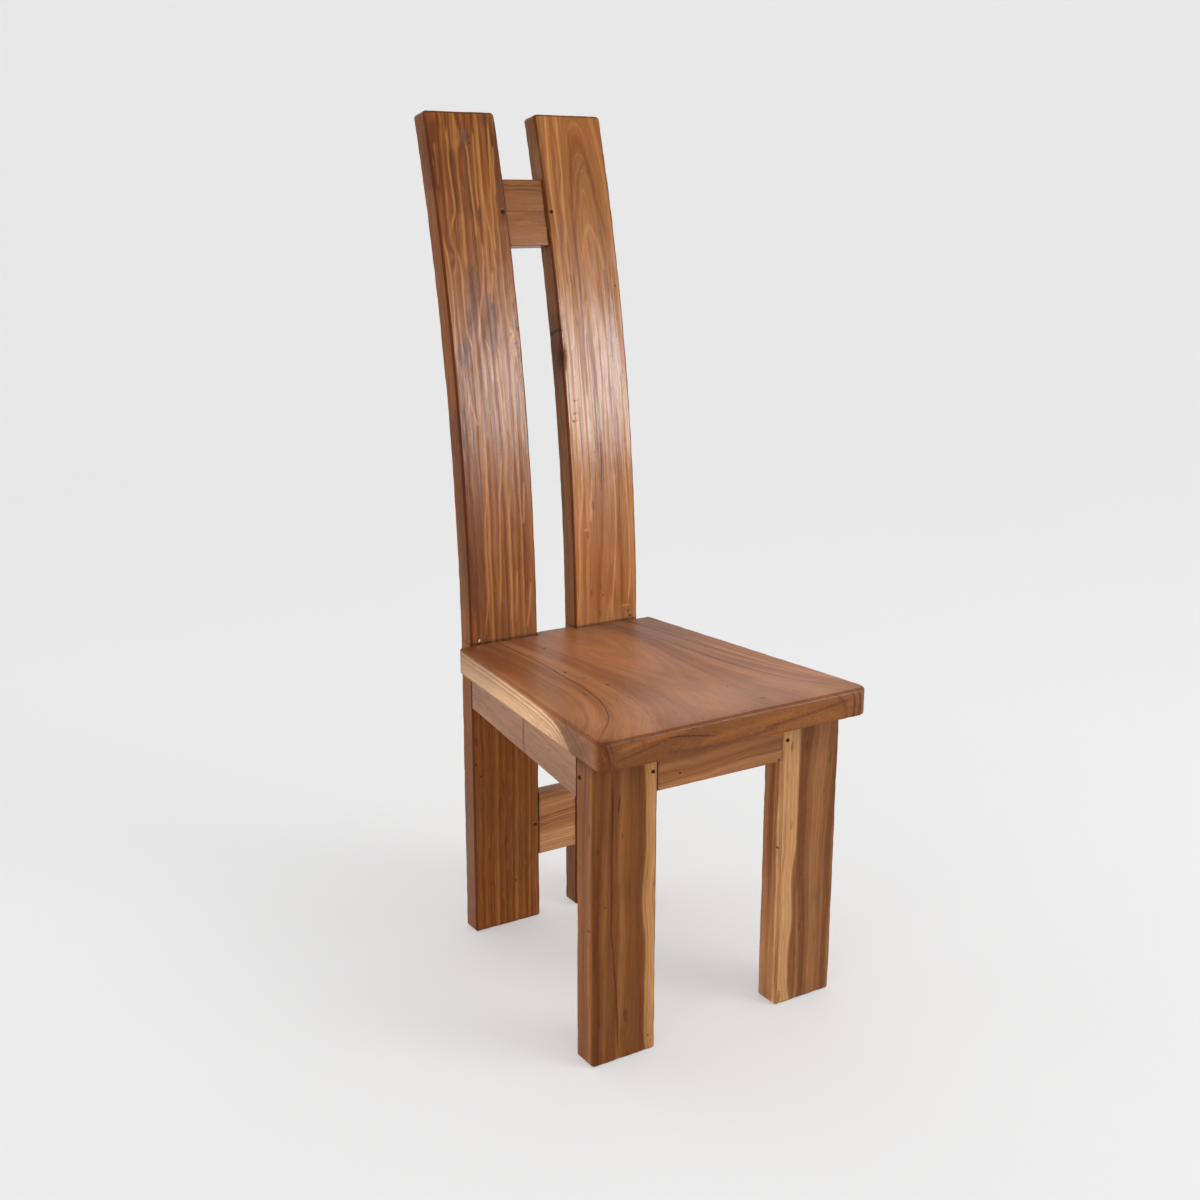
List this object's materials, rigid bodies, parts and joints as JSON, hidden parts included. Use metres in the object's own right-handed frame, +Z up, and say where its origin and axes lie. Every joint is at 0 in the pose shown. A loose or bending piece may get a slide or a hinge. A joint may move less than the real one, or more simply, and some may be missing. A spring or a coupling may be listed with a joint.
{
  "type": "high-back chair",
  "caption": "High-back solid-wood dining chair: split plank back bent rearward and tied by a head block, thick slab seat, wide plank legs, aprons and a rear stretcher.",
  "frame": {"origin": "on the floor, under the middle of the whole chair's bounding box", "axes": "+Z up; the chair faces -Y and its back is on +Y; +X is to the right of someone who stands in front of the chair and looks at it"},
  "size_m": [0.4264, 0.6031, 1.2115],
  "materials": {
    "post_left_wood": "satin clear lacquer over solid tropical hardwood",
    "post_right_wood": "satin clear lacquer over solid tropical hardwood",
    "head_block_wood": "satin clear lacquer over solid tropical hardwood",
    "stretcher_wood": "satin clear lacquer over solid tropical hardwood",
    "hidden_wood": "satin clear lacquer over solid tropical hardwood",
    "front_leg_left_wood": "satin clear lacquer over solid tropical hardwood",
    "front_leg_right_wood": "satin clear lacquer over solid tropical hardwood",
    "front_apron_wood": "satin clear lacquer over solid tropical hardwood",
    "side_apron_wood": "satin clear lacquer over solid tropical hardwood",
    "seat_wood": "satin clear lacquer over solid tropical hardwood",
    "pin_wood": "satin clear lacquer over solid tropical hardwood",
    "screw_steel": "plain bright steel",
    "nail_steel": "plain bright steel"
  },
  "bodies": {
    "root": {"post_left": "post_left_wood", "post_right": "post_right_wood", "head_block": "head_block_wood", "rear_stretcher": "stretcher_wood", "rear_apron": "hidden_wood", "front_leg_left": "front_leg_left_wood", "front_leg_right": "front_leg_right_wood", "front_apron": "front_apron_wood", "side_apron_left": "side_apron_wood", "side_apron_right": "side_apron_wood", "seat_slab": "seat_wood", "corner_block_front_left": "hidden_wood", "corner_block_front_right": "hidden_wood", "corner_block_rear_left": "hidden_wood", "corner_block_rear_right": "hidden_wood", "head_block_pins": "pin_wood", "rear_stretcher_pins": "pin_wood", "rear_apron_pins": "pin_wood", "front_apron_pins": "pin_wood", "side_apron_pins": "pin_wood", "seat_screws": "screw_steel", "corner_block_screws": "screw_steel", "post_nails": "nail_steel"}
  },
  "joints": []
}
